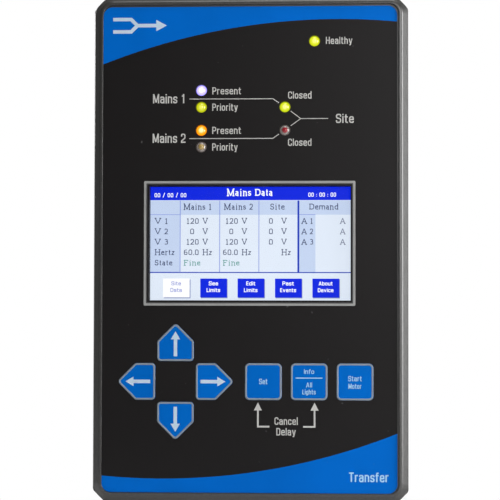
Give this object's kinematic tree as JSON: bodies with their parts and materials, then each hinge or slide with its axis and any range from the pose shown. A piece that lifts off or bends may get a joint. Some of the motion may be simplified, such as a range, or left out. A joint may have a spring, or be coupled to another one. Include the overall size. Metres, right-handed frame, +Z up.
{
  "type": "automatic transfer switch controller",
  "caption": "Door-mounted transfer switch controller: chamfered bezel, printed overlay, colour display, status lamps, arrow and function keys, vented rear housing with terminals.",
  "frame": {"origin": "centre of the bezel's rear face, which seats on the cabinet door; it is also the centre of the corner studs", "axes": "+X right in the front view, +Y out of the back into the door and cabinet, +Z up along the long side"},
  "size_m": [0.149, 0.0812, 0.2398],
  "materials": {
    "bezel_plastic": "fine moulded grain, dark grey",
    "overlay_film": "printed matt polyester film",
    "window_clear": "clear with light anti-glare",
    "key_film": "printed royal-blue film with a soft sheen",
    "switch_plastic": "moulded",
    "lamp_green": "tinted epoxy lens",
    "lamp_white": "clear epoxy lens",
    "lamp_yellow": "tinted epoxy lens",
    "lamp_amber": "tinted epoxy lens",
    "lamp_clear": "clear epoxy lens, unlit",
    "black_plastic": "moulded",
    "display_glass": "polariser film over glass",
    "steel_sheet": "zinc plated sheet",
    "backlight_plastic": "white light guide",
    "zinc_steel": "bright zinc plating",
    "flex_film": "amber polyimide film",
    "ribbon_plastic": "grey insulation",
    "circuit_board": "green solder resist",
    "cell_steel": "bright nickel",
    "brass_metal": "nickel-free brass",
    "core_iron": "varnished laminations",
    "winding_tape": "yellow winding tape",
    "capacitor_sleeve": "heat-shrunk sleeve",
    "absorber_coating": "epoxy dip coating",
    "relay_plastic": "moulded case",
    "terminal_plastic": "green moulded housing",
    "gasket_foam": "closed-cell foam"
  },
  "bodies": {
    "controller": {"board_chips": "black_plastic", "board_sockets": "black_plastic", "coin_cell": "cell_steel", "coin_cell_holder": "black_plastic", "cover_screws": "zinc_steel", "display_flex": "flex_film", "display_retainer": "steel_sheet", "display_window": "window_clear", "earth_hardware": "zinc_steel", "earth_terminal": "brass_metal", "front_bezel": "bezel_plastic", "front_board": "circuit_board", "front_standoffs": "brass_metal", "graphic_overlay": "overlay_film", "input_terminals": "terminal_plastic", "lcd_backlight": "backlight_plastic", "lcd_frame": "steel_sheet", "lcd_glass": "display_glass", "led_source1_available": "lamp_white", "led_source1_connected": "lamp_green", "led_source1_preferred": "lamp_yellow", "led_source2_available": "lamp_amber", "led_source2_connected": "lamp_clear", "led_source2_preferred": "lamp_clear", "led_spacers": "black_plastic", "led_unit_status": "lamp_green", "load_terminals": "terminal_plastic", "main_board": "circuit_board", "mounting_studs": "zinc_steel", "output_relays": "relay_plastic", "output_terminals": "terminal_plastic", "panel_gasket": "gasket_foam", "rear_cover": "steel_sheet", "rear_housing": "steel_sheet", "rear_standoffs": "brass_metal", "retainer_screws": "zinc_steel", "ribbon_cable": "ribbon_plastic", "ribbon_plugs": "black_plastic", "source1_terminals": "terminal_plastic", "source2_terminals": "terminal_plastic", "storage_capacitors": "capacitor_sleeve", "surge_absorbers": "absorber_coating", "switch_bodies": "switch_plastic", "terminal_screws": "zinc_steel", "transformer_cores": "core_iron", "transformer_windings": "winding_tape"},
    "up_key": {"key_up": "key_film", "switch_plunger_up": "switch_plastic"},
    "down_key": {"key_down": "key_film", "switch_plunger_down": "switch_plastic"},
    "left_key": {"key_left": "key_film", "switch_plunger_left": "switch_plastic"},
    "right_key": {"key_right": "key_film", "switch_plunger_right": "switch_plastic"},
    "enter_key": {"key_enter": "key_film", "switch_plunger_enter": "switch_plastic"},
    "help_key": {"key_help": "key_film", "switch_plunger_help": "switch_plastic"},
    "engine_test_key": {"key_engine_test": "key_film", "switch_plunger_engine_test": "switch_plastic"}
  },
  "joints": [
    {"name": "up_key_press", "type": "slide", "parent": "controller", "child": "up_key", "axis": [0, 1, 0], "range_m": [0, 0.0005], "stiffness_N_per_m": 2400, "springref_m": -0.0003},
    {"name": "down_key_press", "type": "slide", "parent": "controller", "child": "down_key", "axis": [0, 1, 0], "range_m": [0, 0.0005], "stiffness_N_per_m": 2400, "springref_m": -0.0003},
    {"name": "left_key_press", "type": "slide", "parent": "controller", "child": "left_key", "axis": [0, 1, 0], "range_m": [0, 0.0005], "stiffness_N_per_m": 2400, "springref_m": -0.0003},
    {"name": "right_key_press", "type": "slide", "parent": "controller", "child": "right_key", "axis": [0, 1, 0], "range_m": [0, 0.0005], "stiffness_N_per_m": 2400, "springref_m": -0.0003},
    {"name": "enter_key_press", "type": "slide", "parent": "controller", "child": "enter_key", "axis": [0, 1, 0], "range_m": [0, 0.0005], "stiffness_N_per_m": 2400, "springref_m": -0.0003},
    {"name": "help_key_press", "type": "slide", "parent": "controller", "child": "help_key", "axis": [0, 1, 0], "range_m": [0, 0.0005], "stiffness_N_per_m": 2400, "springref_m": -0.0003},
    {"name": "engine_test_key_press", "type": "slide", "parent": "controller", "child": "engine_test_key", "axis": [0, 1, 0], "range_m": [0, 0.0005], "stiffness_N_per_m": 2400, "springref_m": -0.0003}
  ]
}
